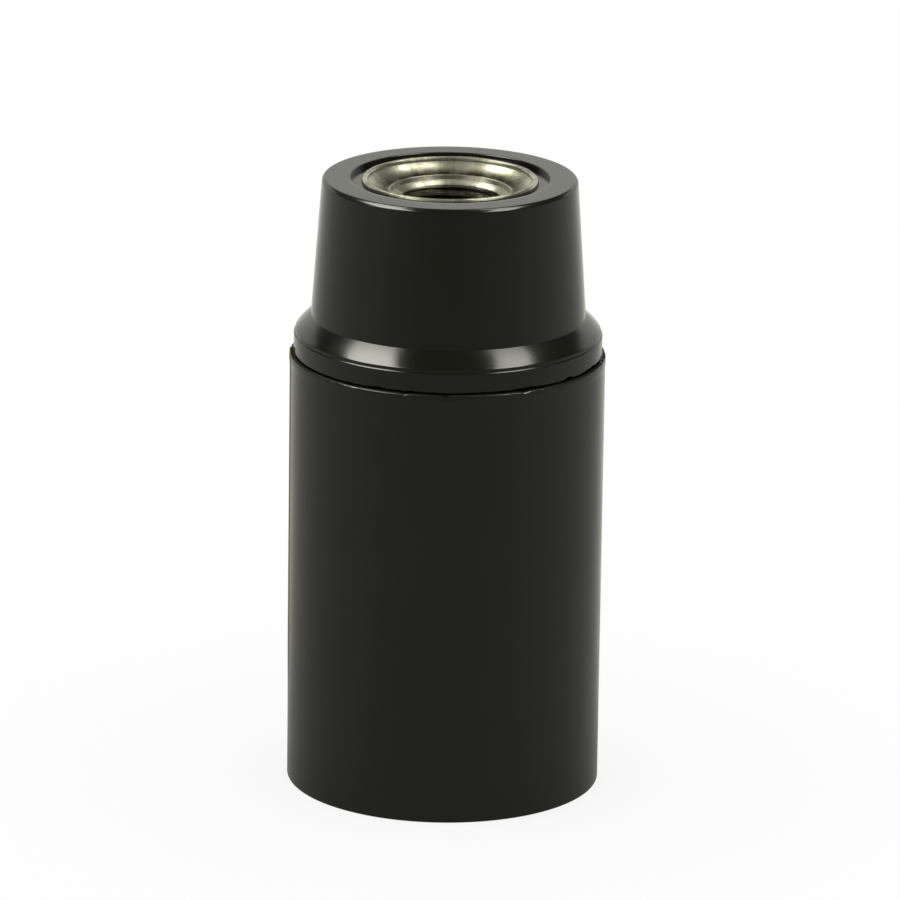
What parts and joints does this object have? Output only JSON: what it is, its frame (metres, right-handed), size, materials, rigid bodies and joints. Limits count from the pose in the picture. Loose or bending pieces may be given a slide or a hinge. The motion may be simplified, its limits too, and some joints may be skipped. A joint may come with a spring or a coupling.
{
  "type": "lamp holder",
  "caption": "Slim black moulded candle lamp holder with a screw socket at one end, a necked cap and a threaded metal cable entry",
  "frame": {"origin": "centre of the lamp mouth, on the plane of the skirt's rim", "axes": "+Z along the holder's axis from the lamp mouth to the cable entry, +X towards the neutral terminal's rivet, +Y towards one of the block's two keys"},
  "size_m": [0.028, 0.028, 0.0554],
  "materials": {
    "phenolic": "satin",
    "zinc_plated_bush": "satin",
    "porcelain": "satin",
    "spring_strip": "satin",
    "terminal_brass": "satin",
    "screw_steel": "satin"
  },
  "bodies": {
    "cap": {"cap": "phenolic", "entry_bush": "zinc_plated_bush"},
    "contact_block": {"insert_body": "porcelain", "live_terminal": "terminal_brass", "live_rivet": "terminal_brass", "neutral_terminal": "terminal_brass", "neutral_rivet": "terminal_brass"},
    "skirt": {"skirt": "phenolic"},
    "centre_contact": {"centre_contact": "spring_strip"},
    "side_contact": {"side_contact": "spring_strip"},
    "live_screw": {"live_screw": "screw_steel"},
    "live_clamp": {"live_clamp": "screw_steel"},
    "neutral_screw": {"neutral_screw": "screw_steel"},
    "neutral_clamp": {"neutral_clamp": "screw_steel"}
  },
  "joints": [
    {"name": "skirt_turn", "type": "hinge", "parent": "contact_block", "child": "skirt", "pos_m": [0, 0, 0.0394], "axis": [0, 0, -1], "range_deg": [0, 900]},
    {"name": "block_drop", "type": "slide", "parent": "cap", "child": "contact_block", "axis": [0, 0, -1], "range_m": [0, 0.005]},
    {"name": "centre_contact_flex", "type": "hinge", "parent": "contact_block", "child": "centre_contact", "pos_m": [-0.0071, 0, 0.02748], "axis": [0, -1, 0], "range_deg": [0, 7], "stiffness_Nm_per_rad": 0.27},
    {"name": "side_contact_flex", "type": "hinge", "parent": "contact_block", "child": "side_contact", "pos_m": [0.0039, 0, 0.02748], "axis": [0, -1, 0], "range_deg": [0, 4], "stiffness_Nm_per_rad": 0.27},
    {"name": "live_clamp_lift", "type": "slide", "parent": "contact_block", "child": "live_clamp", "axis": [0, 0, 1], "range_m": [0, 0.0015]},
    {"name": "live_screw_turn", "type": "hinge", "parent": "live_clamp", "child": "live_screw", "pos_m": [-0.00441, -0.0043, 0.034], "axis": [0, 0, 1], "range_deg": [0, 1080]},
    {"name": "neutral_clamp_lift", "type": "slide", "parent": "contact_block", "child": "neutral_clamp", "axis": [0, 0, 1], "range_m": [0, 0.0015]},
    {"name": "neutral_screw_turn", "type": "hinge", "parent": "neutral_clamp", "child": "neutral_screw", "pos_m": [0.00441, 0.0043, 0.034], "axis": [0, 0, 1], "range_deg": [0, 1080]}
  ],
  "couplings": [
    {"joint": "skirt_turn", "follows": "block_drop", "rad_per_m": 3141.6},
    {"joint": "live_screw_turn", "follows": "live_clamp_lift", "rad_per_m": 12566},
    {"joint": "neutral_screw_turn", "follows": "neutral_clamp_lift", "rad_per_m": 12566}
  ]
}
